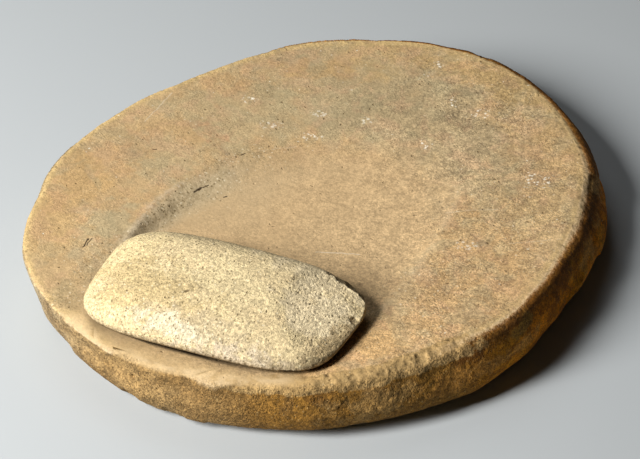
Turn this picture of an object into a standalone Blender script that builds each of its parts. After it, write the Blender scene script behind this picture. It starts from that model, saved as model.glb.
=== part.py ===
"""Saddle quern: a dished lower slab with a worn trough, and the handstone that lies across it.

Metres, +Z up. The grinding stroke runs along Y. The slab stands on a flat foot at z = 0,
and the origin is under the middle of its footprint.
"""

from math import atan2, ceil, cos, exp, hypot, pi, radians, sin, sqrt

import bmesh
import bpy
from mathutils import Matrix, Vector
from mathutils.bvhtree import BVHTree
from mathutils.geometry import delaunay_2d_cdt

# Slab outline: a mean radius and waves of (lobes, height, direction of a crest).
SLAB_RADIUS = 0.265
OUTLINE_WAVES = (
    (2, 0.0230, radians(73)),
    (3, 0.0070, radians(98)),
    (5, 0.0013, radians(37)),
    (7, 0.0021, radians(27)),
)

# Where the rim stands further out than those waves, or further in: (direction, breadth, distance).
RIM_SWELLS = (
    (radians(-28), radians(16), -0.0065),
    (radians(14), radians(20), -0.0035),
    (radians(110), radians(12), -0.0045),
    (radians(160), radians(20), 0.0078),
    (radians(-160), radians(10), 0.0040),
    (radians(-137), radians(10), 0.0025),
)

# The rim stands a little higher on the thick side.
RIM_HEIGHT = 0.061
RIM_RISE = 0.0045
THICK_SIDE = radians(-71)

# Saddle worn in the rim where the stroke runs off the front of the slab.
SADDLE_DEPTH = 0.0030
SADDLE_HALF_WIDTH = 0.070
SADDLE_FADE = (-0.080, -0.230)

# The flank swells past the rim on its full side and draws in under it on the other.
FLANK_BULGE = 0.002
FLANK_SWELL = 0.020
FLANK_PINCH = 0.006
FULL_SIDE = radians(19)

# Where the flank bulges more than that: (direction, breadth, distance).
FLANK_SWELLS = (
    (radians(-93), radians(12), 0.0040),
    (radians(-58), radians(12), 0.0030),
    (radians(-28), radians(20), 0.0065),
    (radians(24), radians(20), 0.0050),
)

# Shallow dish over the whole top.
DISH_DEPTH = 0.011
DISH_POWER = 2.2

# Trough that the handstone has worn: open toward -Y, rounded off askew toward +Y.
# A wall's width is a share of the trough's half width, and part of it lies outside the outline.
TROUGH_LEFT_DEPTH = 0.010
TROUGH_RIGHT_DEPTH = 0.006
TROUGH_MIDDLE = (0.003, -0.100)
TROUGH_HALF_WIDTH = 0.129
TROUGH_BACK_REACH = 0.228
TROUGH_BACK_SKEW = 0.36
TROUGH_SQUARENESS = 2.5
TROUGH_LEFT_WALL = 0.13
TROUGH_RIGHT_WALL = 0.25
TROUGH_BACK_WALL = 0.60
TROUGH_BACK_WALL_START = 0.1
WALL_OUTSIDE = 0.3
TROUGH_RIM_FADE = (1.10, 0.80)

# The left wall spreads into a gentle slope on its way to the front rim.
TROUGH_SPREAD_WALL = 0.62
TROUGH_SPREAD_START = -0.120
TROUGH_SPREAD_END = -0.185

# Flank rings from the rim down: (share of the bulge, inset from the rim, share of the height).
# Where the flank draws in, it follows a power of the drop from the rim instead of the bulge.
FLANK_PROFILE = (
    (0.00, 0.0012, 0.970),
    (0.30, 0.0000, 0.900),
    (0.75, 0.0000, 0.700),
    (1.00, 0.0000, 0.450),
    (0.95, 0.0030, 0.240),
    (0.85, 0.0080, 0.100),
    (0.60, 0.0160, 0.030),
)
DRAW_IN_POWER = 0.80
RIM_ROUNDING = 0.0050
FOOT_INSET = 0.012
SECTORS = 120
TOP_SPACING = 0.0125
TOP_MARGIN = RIM_ROUNDING + 0.6 * TOP_SPACING

# The left wall is short and steep, so the points of the top lie closer in a box round it.
WALL_SPACING = 0.0060
WALL_BOX = ((-0.150, -0.175), (-0.096, 0.045))

# Handstone: a loaf with square-shouldered ovals for its rings, lower toward +X and toward -Y.
STONE_LENGTH = 0.246
STONE_WIDTH = 0.132
STONE_HEIGHT = 0.050
STONE_GIRTH_HEIGHT = 0.019
STONE_SQUARENESS = 4.0
STONE_SKEW = 0.070
STONE_SKEW_RISE = 0.065
STONE_TOP_POWERS = (3.2, 1.9)
STONE_BELLY_POWERS = (3.4, 2.2)
STONE_END_FALL = 0.14
STONE_FRONT_FALL = 0.19
STONE_SECTORS = 64
STONE_LEVELS = 9

# Two flats on the handstone, each a point and a normal: the worn slope down to the end at +X, then
# the broken corner.
SLOPE_POINT = (0.1152, 0.0087, 0.0221)
SLOPE_NORMAL = (0.435, -0.098, 0.985)
BREAK_POINT = (0.111, 0.040, 0.034)
BREAK_NORMAL = (0.62, 0.78, 0.95)

# Where the handstone lies: its middle, its turn from X and its lean to rest in the trough.
STONE_PLACE = (0.0086, -0.185)
STONE_TURN = radians(9)
STONE_LEAN_LONG = radians(-1.5)
STONE_LEAN_CROSS = radians(-4.0)
STONE_START_HEIGHT = 1.0
GAP = 0.0003

CREASE_ANGLE = radians(40)


def clear_scene():
    for old in list(bpy.data.objects):
        bpy.data.objects.remove(old, do_unlink=True)


def stone_material(name, color, roughness):
    material = bpy.data.materials.new(name)
    material.use_nodes = True
    shader = material.node_tree.nodes["Principled BSDF"]
    shader.inputs["Base Color"].default_value = (*color, 1.0)
    shader.inputs["Roughness"].default_value = roughness
    shader.inputs["Metallic"].default_value = 0.0
    material.diffuse_color = (*color, 1.0)
    return material


def smooth(value, start, end):
    """0 at start and 1 at end, level at both."""
    share = min(max((value - start) / (end - start), 0.0), 1.0)
    return share * share * (3.0 - 2.0 * share)


def swelling(angle, swells):
    """Sum of smooth swells, each fading with the turn away from its own direction."""
    total = 0.0
    for direction, breadth, distance in swells:
        turn = (angle - direction + pi) % (2 * pi) - pi
        total += distance * exp(-((turn / breadth) ** 2))
    return total


def outline_radius(angle):
    waves = sum(height * cos(lobes * (angle - crest)) for lobes, height, crest in OUTLINE_WAVES)
    return SLAB_RADIUS + waves + swelling(angle, RIM_SWELLS)


def saddle_depth(x, y):
    return SADDLE_DEPTH * exp(-((x / SADDLE_HALF_WIDTH) ** 2)) * smooth(y, *SADDLE_FADE)


def trough_depth(x, y, rim_share):
    """Depth below the dish, less toward the rim."""
    across = (x - TROUGH_MIDDLE[0]) / TROUGH_HALF_WIDTH
    along = max(y - TROUGH_MIDDLE[1] - TROUGH_BACK_SKEW * x, 0.0) / TROUGH_BACK_REACH
    power = TROUGH_SQUARENESS
    share = (abs(across) ** power + along**power) ** (1.0 / power)
    spread = smooth(y, TROUGH_SPREAD_START, TROUGH_SPREAD_END)
    left_wall = TROUGH_LEFT_WALL + (TROUGH_SPREAD_WALL - TROUGH_LEFT_WALL) * spread
    side_wall = left_wall + (TROUGH_RIGHT_WALL - left_wall) * smooth(across, -1, 1)
    wall = side_wall + (TROUGH_BACK_WALL - side_wall) * smooth(along, TROUGH_BACK_WALL_START, 1.0)
    depth = TROUGH_LEFT_DEPTH + (TROUGH_RIGHT_DEPTH - TROUGH_LEFT_DEPTH) * smooth(across, -1, 1)
    crest = 1.0 + WALL_OUTSIDE * wall
    bank = smooth(share, crest, crest - wall)
    return depth * bank * smooth(rim_share, *TROUGH_RIM_FADE)


def top_height(x, y):
    angle = atan2(y, x)
    share = min(hypot(x, y) / outline_radius(angle), 1.0)
    rim = RIM_HEIGHT + RIM_RISE * share * cos(angle - THICK_SIDE)
    dish = DISH_DEPTH * (1.0 - share**DISH_POWER)
    return rim - dish - trough_depth(x, y, share) - saddle_depth(x, y)


def lattice_points(low, high, spacing):
    """Points of a triangular lattice between two corners, in lines along Y."""
    line_step = spacing * sqrt(3) / 2
    points = []
    for line in range(ceil(low[0] / line_step), ceil(high[0] / line_step)):
        shift = spacing / 2 if line % 2 else 0.0
        for step in range(ceil(low[1] / spacing), ceil(high[1] / spacing)):
            points.append(Vector((line * line_step, step * spacing + shift)))
    return points


def in_wall_box(point, margin):
    (left, front), (right, back) = WALL_BOX
    return left - margin < point.x < right + margin and front - margin < point.y < back + margin


def top_points():
    """Points inside the outline: a lattice over the whole top, and a closer one round the left wall."""
    reach = SLAB_RADIUS + sum(height for _, height, _ in OUTLINE_WAVES)
    whole = lattice_points((-reach, -reach), (reach, reach), TOP_SPACING)
    points = [point for point in whole if not in_wall_box(point, WALL_SPACING)]
    points += lattice_points(*WALL_BOX, WALL_SPACING)
    return [point for point in points if point.length < outline_radius(atan2(point.y, point.x)) - TOP_MARGIN]


def ring_angles(count):
    return [2 * pi * index / count for index in range(count)]


def flank_bulge(angle):
    bulge = FLANK_BULGE + FLANK_SWELL * cos(angle - FULL_SIDE) - FLANK_PINCH * cos(2 * angle)
    return bulge + swelling(angle, FLANK_SWELLS)


def flank_ring(mesh, bulge_share, inset, height_share):
    ring = []
    for angle in ring_angles(SECTORS):
        rim = outline_radius(angle)
        bulge = flank_bulge(angle)
        reach = bulge * (bulge_share if bulge > 0 else (1.0 - height_share) ** DRAW_IN_POWER)
        radius = rim + reach - inset
        height = top_height(rim * cos(angle), rim * sin(angle)) * height_share
        ring.append(mesh.verts.new((radius * cos(angle), radius * sin(angle), height)))
    return ring


def join_rings(mesh, upper, lower):
    count = len(upper)
    for index in range(count):
        after = (index + 1) % count
        mesh.faces.new((upper[index], lower[index], lower[after], upper[after]))


def add_slab_top(mesh):
    """The dished top as one triangulated sheet. Returns its boundary, counter-clockwise."""
    edge = []
    for angle in ring_angles(SECTORS):
        radius = outline_radius(angle) - RIM_ROUNDING
        edge.append(Vector((radius * cos(angle), radius * sin(angle))))
    links = [(index, (index + 1) % SECTORS) for index in range(SECTORS)]
    spread = edge + top_points()
    flat, _, triangles, *_ = delaunay_2d_cdt(spread, links, [], 1, 1e-6)
    verts = [mesh.verts.new((x, y, top_height(x, y))) for x, y in flat]
    for triangle in triangles:
        mesh.faces.new([verts[index] for index in triangle])
    return verts[:SECTORS]


def build_slab(material):
    mesh = bmesh.new()
    ring = add_slab_top(mesh)
    heel_share, heel_inset, _ = FLANK_PROFILE[-1]
    for profile in (*FLANK_PROFILE, (heel_share, heel_inset + FOOT_INSET, 0.0)):
        below = flank_ring(mesh, *profile)
        join_rings(mesh, ring, below)
        ring = below
    mesh.faces.new(list(reversed(ring)))
    return finish_object("quern_slab", mesh, material)


def loaf_outline(angle):
    """A skewed flat-sided oval, as a point for each angle."""
    power = 2.0 / STONE_SQUARENESS
    x = abs(cos(angle)) ** power * (1 if cos(angle) > 0 else -1)
    y = abs(sin(angle)) ** power * (1 if sin(angle) > 0 else -1) * STONE_WIDTH / 2
    skew = STONE_SKEW + STONE_SKEW_RISE * x
    return x * STONE_LENGTH / 2 + skew * y, y


def loaf_ring(mesh, spread, height):
    ring = []
    for angle in ring_angles(STONE_SECTORS):
        x, y = loaf_outline(angle)
        x, y = x * spread, y * spread
        fall = STONE_END_FALL * max(x, 0.0) / STONE_LENGTH * 2 - STONE_FRONT_FALL * y / STONE_WIDTH * 2
        ring.append(mesh.verts.new((x, y, height * (1.0 - fall))))
    return ring


def loaf_levels():
    """(spread, height) of each ring from the crown to the belly."""
    crown = STONE_HEIGHT - STONE_GIRTH_HEIGHT
    rows = []
    for step in range(1, STONE_LEVELS + 1):
        lift = pi / 2 * (1 - step / STONE_LEVELS)
        wide, tall = STONE_TOP_POWERS
        rows.append((cos(lift) ** (2 / wide), STONE_GIRTH_HEIGHT + crown * sin(lift) ** (2 / tall)))
    for step in range(1, STONE_LEVELS):
        drop = pi / 2 * step / STONE_LEVELS
        wide, tall = STONE_BELLY_POWERS
        rows.append((cos(drop) ** (2 / wide), STONE_GIRTH_HEIGHT * (1 - sin(drop) ** (2 / tall))))
    return rows


def cap(mesh, ring, height, upward):
    tip = mesh.verts.new((0.0, 0.0, height))
    for index, vert in enumerate(ring):
        after = ring[(index + 1) % len(ring)]
        mesh.faces.new((vert, after, tip) if upward else (after, vert, tip))


def cut_flat(mesh, point, normal):
    """Takes off what lies beyond a plane and closes the cut."""
    everything = mesh.verts[:] + mesh.edges[:] + mesh.faces[:]
    cut = bmesh.ops.bisect_plane(
        mesh, geom=everything, plane_co=point, plane_no=normal, clear_outer=True
    )
    rim = [part for part in cut["geom_cut"] if isinstance(part, bmesh.types.BMEdge)]
    bmesh.ops.contextual_create(mesh, geom=rim)


def rest_on(mesh, ground):
    """Lowers the stone until its underside is a gap above the ground."""
    place = Matrix.Translation((*STONE_PLACE, STONE_START_HEIGHT)) @ Matrix.Rotation(STONE_TURN, 4, "Z")
    lean = Matrix.Rotation(STONE_LEAN_LONG, 4, "Y") @ Matrix.Rotation(STONE_LEAN_CROSS, 4, "X")
    mesh.transform(place @ lean)
    under = BVHTree.FromObject(ground, bpy.context.evaluated_depsgraph_get())
    over = BVHTree.FromBMesh(mesh)
    down, up = Vector((0, 0, -1)), Vector((0, 0, 1))
    spots = [vert.co for vert in mesh.verts] + [(e.verts[0].co + e.verts[1].co) / 2 for e in mesh.edges]
    drops = [under.ray_cast(spot, down)[3] for spot in spots]
    drops += [over.ray_cast(vert.co, up)[3] for vert in ground.data.vertices]
    mesh.transform(Matrix.Translation((0, 0, GAP - min(drop for drop in drops if drop is not None))))


def build_handstone(material, ground):
    mesh = bmesh.new()
    levels = loaf_levels()
    rings = [loaf_ring(mesh, *level) for level in levels]
    for upper, lower in zip(rings, rings[1:]):
        join_rings(mesh, upper, lower)
    cap(mesh, rings[0], STONE_HEIGHT, True)
    cap(mesh, rings[-1], 0.0, False)
    cut_flat(mesh, SLOPE_POINT, SLOPE_NORMAL)
    cut_flat(mesh, BREAK_POINT, BREAK_NORMAL)
    rest_on(mesh, ground)
    return finish_object("handstone", mesh, material)


def finish_object(name, mesh, material):
    bmesh.ops.triangulate(mesh, faces=mesh.faces[:])
    bmesh.ops.recalc_face_normals(mesh, faces=mesh.faces[:])
    data = bpy.data.meshes.new(name)
    mesh.to_mesh(data)
    mesh.free()
    data.shade_smooth()
    data.set_sharp_from_angle(angle=CREASE_ANGLE)
    data.materials.append(material)
    made = bpy.data.objects.new(name, data)
    bpy.context.scene.collection.objects.link(made)
    bpy.context.view_layer.update()
    return made


def centre_on_footprint(pieces):
    """Shifts every piece so that the origin is under the middle of the whole outline."""
    spots = [vert.co for piece in pieces for vert in piece.data.vertices]
    shift = [-(min(spot[axis] for spot in spots) + max(spot[axis] for spot in spots)) / 2 for axis in (0, 1)]
    for piece in pieces:
        piece.data.transform(Matrix.Translation((*shift, 0.0)))


def main():
    clear_scene()
    slab_stone = stone_material("slab_sandstone", (0.45, 0.33, 0.20), 0.85)
    hand_stone = stone_material("handstone_sandstone", (0.68, 0.58, 0.38), 0.88)
    slab = build_slab(slab_stone)
    handstone = build_handstone(hand_stone, slab)
    centre_on_footprint([slab, handstone])


main()
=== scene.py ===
# Saddle quern: the dished slab and its handstone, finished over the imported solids.
import math

import bmesh
import bpy
import numpy as np
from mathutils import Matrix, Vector


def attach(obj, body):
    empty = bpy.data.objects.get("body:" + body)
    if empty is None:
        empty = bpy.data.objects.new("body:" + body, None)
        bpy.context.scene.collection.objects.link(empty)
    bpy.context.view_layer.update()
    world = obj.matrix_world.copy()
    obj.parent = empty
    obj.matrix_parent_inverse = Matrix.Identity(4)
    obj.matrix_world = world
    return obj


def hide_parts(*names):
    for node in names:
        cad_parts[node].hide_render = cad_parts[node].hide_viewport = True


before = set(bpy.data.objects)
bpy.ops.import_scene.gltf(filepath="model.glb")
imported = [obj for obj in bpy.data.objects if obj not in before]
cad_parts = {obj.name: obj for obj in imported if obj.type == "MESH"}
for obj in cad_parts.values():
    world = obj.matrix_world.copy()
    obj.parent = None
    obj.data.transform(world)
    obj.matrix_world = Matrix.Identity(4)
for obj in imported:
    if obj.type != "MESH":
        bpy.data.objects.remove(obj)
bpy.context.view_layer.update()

# every place below is measured from this point of the frame
home = np.array((0.0013, 0.002, 0.0))


def smooth(value, start, end):
    share = np.clip((value - start) / (end - start), 0.0, 1.0)
    return share * share * (3.0 - 2.0 * share)


def mergedCopy(nodeName, pieceName, steep, hold):
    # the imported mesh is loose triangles, so its corners are joined first
    # edges steeper than steep hold their shape by what hold gives for their middle
    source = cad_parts[nodeName]
    mesh = bmesh.new()
    mesh.from_mesh(source.data)
    bmesh.ops.remove_doubles(mesh, verts=mesh.verts[:], dist=1e-5)
    creases = mesh.edges.layers.float.new("crease_edge")
    for edge in mesh.edges:
        if edge.calc_face_angle(0.0) > steep:
            edge[creases] = hold(np.array((edge.verts[0].co + edge.verts[1].co) / 2) - home)
    data = bpy.data.meshes.new(pieceName)
    mesh.to_mesh(data)
    mesh.free()
    piece = bpy.data.objects.new(pieceName, data)
    bpy.context.scene.collection.objects.link(piece)
    return piece


def bake(piece):
    # turns the live modifiers into plain mesh
    bpy.context.view_layer.update()
    graph = bpy.context.evaluated_depsgraph_get()
    data = bpy.data.meshes.new_from_object(
        piece.evaluated_get(graph), preserve_all_data_layers=True, depsgraph=graph
    )
    piece.modifiers.clear()
    old = piece.data
    piece.data = data
    bpy.data.meshes.remove(old)
    data.name = piece.name


def remeshed(piece, voxel, rounds, relax):
    soften = piece.modifiers.new("soften", "SUBSURF")
    soften.levels = soften.render_levels = rounds
    grid = piece.modifiers.new("grid", "REMESH")
    grid.mode = "VOXEL"
    grid.voxel_size = voxel
    calm = piece.modifiers.new("calm", "SMOOTH")
    calm.factor = 0.5
    calm.iterations = relax
    bake(piece)


def mellowed(piece, where, rounds):
    # wears away the facets of the solid in the places given
    group = piece.vertex_groups.new(name="worn")
    group.add(np.nonzero(where)[0].tolist(), 1.0, "REPLACE")
    wear = piece.modifiers.new("wear", "SMOOTH")
    wear.factor = 0.5
    wear.iterations = rounds
    wear.vertex_group = group.name
    bake(piece)
    piece.vertex_groups.clear()


def thinned(piece, most, plain):
    # merges faces until the piece is light enough, most of all where plain is 1
    piece.data.calc_loop_triangles()
    count = len(piece.data.loop_triangles)
    group = piece.vertex_groups.new(name="plain")
    for level in (0.35, 0.7, 1.0):
        group.add(np.nonzero(plain > level - 0.18)[0].tolist(), level, "REPLACE")
    thin = piece.modifiers.new("thin", "DECIMATE")
    thin.ratio = min(1.0, most / count)
    thin.vertex_group = group.name
    thin.vertex_group_factor = 3.0
    bake(piece)
    piece.vertex_groups.clear()


def points(piece):
    found = np.empty(len(piece.data.vertices) * 3, np.float32)
    piece.data.vertices.foreach_get("co", found)
    return found.reshape(-1, 3).astype(float) - home


def normals(piece):
    found = np.empty(len(piece.data.vertices) * 3, np.float32)
    piece.data.vertex_normals.foreach_get("vector", found)
    return found.reshape(-1, 3).astype(float)


def movePoints(piece, spots):
    piece.data.vertices.foreach_set("co", (spots + home).astype(np.float32).ravel())
    piece.data.update()


def paint(piece, name, values):
    layer = piece.data.attributes.get(name) or piece.data.attributes.new(name, "FLOAT", "POINT")
    layer.data.foreach_set("value", np.clip(values, -10, 10).astype(np.float32))


def lineDistance(spots, line):
    # distance in plan from each spot to a line of points
    best = np.full(len(spots), 1e9)
    for start, end in zip(line, line[1:]):
        start, along = np.array(start), np.array(end) - np.array(start)
        share = np.clip(((spots[:, :2] - start) @ along) / (along @ along), 0.0, 1.0)
        best = np.minimum(best, np.hypot(*(spots[:, :2] - start - share[:, None] * along).T))
    return best


def scoop(spots, centre, reach, depth):
    # a shallow bowl: full depth at its centre and nothing beyond its reach
    away = np.abs((spots - np.array(centre)) / np.array(reach)) ** 2
    return depth * np.clip(1.0 - away.sum(1), 0.0, 1.0) ** 0.8


def facets(spots, seeds, tilt, step, soften, rng):
    # flat broken faces round the seeds, each with its own lean and level
    leans = rng.normal(0.0, tilt, seeds.shape)
    levels = rng.normal(0.0, step, len(seeds))
    height = np.zeros(len(spots))
    for start in range(0, len(spots), 4000):
        part = spots[start : start + 4000]
        gap = part[:, None, :] - seeds[None, :, :]
        away = np.sqrt((gap**2).sum(2))
        order = np.argpartition(away, 1, axis=1)[:, :2]
        rows = np.arange(len(part))
        first, second = order[:, 0], order[:, 1]
        swap = away[rows, first] > away[rows, second]
        first, second = np.where(swap, second, first), np.where(swap, first, second)
        plane = [(gap[rows, pick] * leans[pick]).sum(1) + levels[pick] for pick in (first, second)]
        share = 0.5 + 0.5 * smooth(away[rows, second] - away[rows, first], 0.0, soften)
        height[start : start + 4000] = plane[0] * share + plane[1] * (1.0 - share)
    return height


def spread(spots, count, gap, rng):
    # picks spots that keep a distance from each other
    kept = []
    for index in rng.permutation(len(spots)):
        spot = spots[index]
        if all(((spot - other) ** 2).sum() > gap * gap for other in kept):
            kept.append(spot)
        if len(kept) == count:
            break
    return np.array(kept)


def feed(sockets, values):
    # each value is a number, or the output of another node
    for socket, value in zip(sockets, values):
        if isinstance(value, bpy.types.NodeSocket):
            socket.id_data.links.new(value, socket)
        else:
            socket.default_value = value


def place(tree, kind, given=(), **settings):
    node = tree.nodes.new(kind)
    for name, value in settings.items():
        setattr(node, name, value)
    for name, value in dict(given).items():
        feed([node.inputs[name]], [value])
    return node


def maths(tree, operation, *values, clamp=False):
    node = place(tree, "ShaderNodeMath", operation=operation, use_clamp=clamp)
    feed(node.inputs, values)
    return node.outputs[0]


def product(tree, *values):
    result = values[0]
    for value in values[1:]:
        result = maths(tree, "MULTIPLY", result, value)
    return result


def total(tree, *values):
    result = values[0]
    for value in values[1:]:
        result = maths(tree, "ADD", result, value)
    return result


def centred(tree, value):
    # a value from 0 to 1, brought to lie round zero
    return maths(tree, "SUBTRACT", value, 0.5)


def per(tree, size):
    return maths(tree, "DIVIDE", 1.0, size)


def vectors(tree, operation, *values):
    node = place(tree, "ShaderNodeVectorMath", operation=operation)
    feed([node.inputs[0], node.inputs["Scale"]] if operation == "SCALE" else node.inputs, values)
    return node.outputs["Value" if operation in ("LENGTH", "DOT_PRODUCT") else "Vector"]


def shifted(tree, spot, way, seed):
    # moves a pattern elsewhere, so that each seed gives another piece of it
    return vectors(tree, "ADD", spot, vectors(tree, "SCALE", way, seed))


def ramp(tree, value, start, end, low=0.0, high=1.0):
    node = place(tree, "ShaderNodeMapRange", interpolation_type="SMOOTHSTEP")
    feed(node.inputs, (value, start, end, low, high))
    return node.outputs[0]


def cloud(tree, vector, scale, detail=2.0, roughness=0.5, distortion=0.0, output=0):
    given = {"Vector": vector, "Scale": scale, "Detail": detail}
    given.update({"Roughness": roughness, "Distortion": distortion})
    return place(tree, "ShaderNodeTexNoise", given).outputs[output]


def cells(tree, vector, scale):
    # how far each place is from the middle of its cell, and three numbers drawn for that cell
    node = place(tree, "ShaderNodeTexVoronoi", {"Vector": vector, "Scale": scale})
    drawn = place(tree, "ShaderNodeSeparateXYZ", {"Vector": node.outputs["Color"]})
    return node.outputs["Distance"], drawn.outputs


def socketsOf(tree, inputs, outputs):
    # each input is a kind of socket, or a first value that tells its kind
    for label, given in inputs.items():
        if isinstance(given, str):
            tree.interface.new_socket(label, in_out="INPUT", socket_type=given)
            continue
        kind = "NodeSocketFloat" if isinstance(given, float) else "NodeSocketVector"
        tree.interface.new_socket(label, in_out="INPUT", socket_type=kind).default_value = given
    for label, kind in outputs.items():
        tree.interface.new_socket(label, in_out="OUTPUT", socket_type=kind)
    return place(tree, "NodeGroupInput").outputs, place(tree, "NodeGroupOutput").inputs


def skinTree():
    # the skin of both stones: swells, pecked scoops and pits
    tree = bpy.data.node_groups.new("stoneSkin", "GeometryNodeTree")
    tree.is_modifier = True
    sizes = {
        "Swell Size": 0.06,
        "Swell Height": 0.0005,
        "Peck Size": 0.006,
        "Peck Height": 0.0005,
        "Scoop Size": 0.008,
        "Scoop Height": 0.0005,
        "Pit Size": 0.01,
        "Pit Depth": 0.0008,
        "Pit Share": 0.3,
        "Seed": 0.0,
    }
    shape = {"Geometry": "NodeSocketGeometry"}
    given, made = socketsOf(tree, {**shape, **sizes, "Material": "NodeSocketMaterial"}, shape)
    spot = place(tree, "GeometryNodeInputPosition").outputs[0]
    seeded = shifted(tree, spot, (1.7, 2.3, 3.1), given["Seed"])

    def attribute(name):
        node = place(tree, "GeometryNodeInputNamedAttribute", {"Name": name}, data_type="FLOAT")
        return node.outputs["Attribute"]

    def relief(value, height):
        return product(tree, centred(tree, value), maths(tree, "MULTIPLY", height, 2.0))

    swell = relief(cloud(tree, seeded, per(tree, given["Swell Size"])), given["Swell Height"])
    peck = relief(cloud(tree, seeded, per(tree, given["Peck Size"]), 3.0, 0.62, 0.4), given["Peck Height"])
    bend = vectors(tree, "SCALE", cloud(tree, seeded, 160.0, 1.0, output=1), 0.004)
    bent = vectors(tree, "ADD", seeded, bend)
    bowls = cells(tree, bent, per(tree, given["Scoop Size"]))[0]
    bowls = product(tree, maths(tree, "SUBTRACT", bowls, 0.38), given["Scoop Height"])
    away, drawn = cells(tree, bent, per(tree, given["Pit Size"]))
    chosen = maths(tree, "LESS_THAN", drawn[0], given["Pit Share"])
    reach = maths(tree, "MULTIPLY_ADD", drawn[1], 0.2, 0.16)
    pit = ramp(tree, maths(tree, "DIVIDE", away, reach), 1.1, 0.25)
    pecked = total(tree, peck, bowls, product(tree, pit, chosen, given["Pit Depth"], -1.0))
    rise = total(tree, product(tree, pecked, attribute("rough")), product(tree, swell, attribute("swell")))
    # the foot only ever goes inward, so that the stone still stands on it
    foot = attribute("foot")
    inward = product(tree, maths(tree, "ABSOLUTE", rise), -1.0, foot)
    rise = total(tree, product(tree, rise, maths(tree, "SUBTRACT", 1.0, foot)), inward)

    kept = {"Geometry": given["Geometry"], "Name": "relief", "Value": rise}
    keep = place(tree, "GeometryNodeStoreNamedAttribute", kept, data_type="FLOAT", domain="POINT")
    offset = vectors(tree, "SCALE", place(tree, "GeometryNodeInputNormal").outputs[0], attribute("relief"))
    shift = place(tree, "GeometryNodeSetPosition", {"Geometry": keep.outputs[0], "Offset": offset})
    whole = place(tree, "GeometryNodeRealizeInstances", {"Geometry": shift.outputs[0]})
    dress = {"Geometry": whole.outputs[0], "Material": given["Material"]}
    feed(made, place(tree, "GeometryNodeSetMaterial", dress).outputs)
    return tree


def growSkin(piece, tree, values, material):
    modifier = piece.modifiers.new("skin", "NODES")
    modifier.node_group = tree
    names = {item.name: item.identifier for item in tree.interface.items_tree if item.in_out == "INPUT"}
    for label, value in values.items():
        modifier[names[label]] = value
    modifier[names["Material"]] = material
    bake(piece)


def shaderGroup(name, inputs, outputs):
    # an effect of the materials: it takes the place on the stone, and gives plain values
    tree = bpy.data.node_groups.new(name, "ShaderNodeTree")
    inputs = {"Vector": "NodeSocketVector", **inputs}
    return tree, *socketsOf(tree, inputs, dict.fromkeys(outputs, "NodeSocketFloat"))


def grainGroup():
    tree, given, made = shaderGroup("stoneGrain", {"Grain Size": 0.001, "Seed": 0.0}, ("Tone", "Height"))
    spot = shifted(tree, given["Vector"], (5.1, 3.7, 1.9), given["Seed"])
    scale = per(tree, given["Grain Size"])
    away, drawn = cells(tree, spot, scale)
    fine = cloud(tree, spot, product(tree, scale, 0.45), 3.0, 0.6)
    tone = total(tree, product(tree, drawn[0], 0.5), product(tree, fine, 0.5))
    domed = product(tree, maths(tree, "SUBTRACT", 1.0, away), 0.5)
    feed(made, (tone, total(tree, domed, product(tree, fine, 0.8))))
    return tree


def patchesGroup():
    inputs = {"Patch Size": 0.05, "Cover": 0.5, "Softness": 0.1, "Seed": 0.0}
    tree, given, made = shaderGroup("tonePatches", inputs, ("Mask",))
    spot = shifted(tree, given["Vector"], (2.9, 4.3, 6.1), given["Seed"])
    value = cloud(tree, spot, per(tree, given["Patch Size"]), 5.0, 0.58, 0.5)
    level = maths(tree, "SUBTRACT", 0.68, product(tree, given["Cover"], 0.36))
    low = maths(tree, "SUBTRACT", level, given["Softness"])
    high = maths(tree, "ADD", level, given["Softness"])
    feed(made, [ramp(tree, value, low, high)])
    return tree


def marksGroup():
    # small separate marks: pits where they are dark and hollow, mineral flecks where they are pale
    inputs = {"Mark Size": 0.004, "Share": 0.3, "Fill": 0.3, "Seed": 0.0, "Stretch": (1.0, 1.0, 1.0)}
    tree, given, made = shaderGroup("smallMarks", inputs, ("Mask",))
    spot = shifted(tree, given["Vector"], (7.3, 1.3, 2.7), given["Seed"])
    scale = per(tree, given["Mark Size"])
    fray = cloud(tree, spot, product(tree, scale, 1.6), 1.0, output=1)
    fray = vectors(tree, "SCALE", fray, product(tree, given["Mark Size"], 0.5))
    frayed = vectors(tree, "ADD", vectors(tree, "MULTIPLY", spot, given["Stretch"]), fray)
    away, drawn = cells(tree, frayed, scale)
    chosen = maths(tree, "LESS_THAN", drawn[0], given["Share"])
    reach = product(tree, given["Fill"], maths(tree, "MULTIPLY_ADD", drawn[1], 0.9, 0.35))
    shape = ramp(tree, maths(tree, "DIVIDE", away, reach), 1.2, 0.6)
    feed(made, [product(tree, shape, chosen)])
    return tree


def placedGroup():
    middle, reach = (0.0, 0.0, 0.0), (0.02, 0.02, 0.02)
    inputs = {"Centre": middle, "Reach": reach, "Turn": 0.0, "Fray": 0.4, "Fray Size": 0.015}
    tree, given, made = shaderGroup("placedPatch", inputs, ("Mask",))
    away = vectors(tree, "SUBTRACT", given["Vector"], given["Centre"])
    turn = {"Vector": away, "Angle": product(tree, given["Turn"], -1.0)}
    turned = place(tree, "ShaderNodeVectorRotate", turn, rotation_type="Z_AXIS").outputs[0]
    share = vectors(tree, "LENGTH", vectors(tree, "DIVIDE", turned, given["Reach"]))
    frayed = cloud(tree, given["Vector"], per(tree, given["Fray Size"]), 4.0, 0.6)
    frayed = product(tree, centred(tree, frayed), product(tree, given["Fray"], 4.0))
    feed(made, [ramp(tree, total(tree, share, frayed), 1.15, 0.45)])
    return tree


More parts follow.
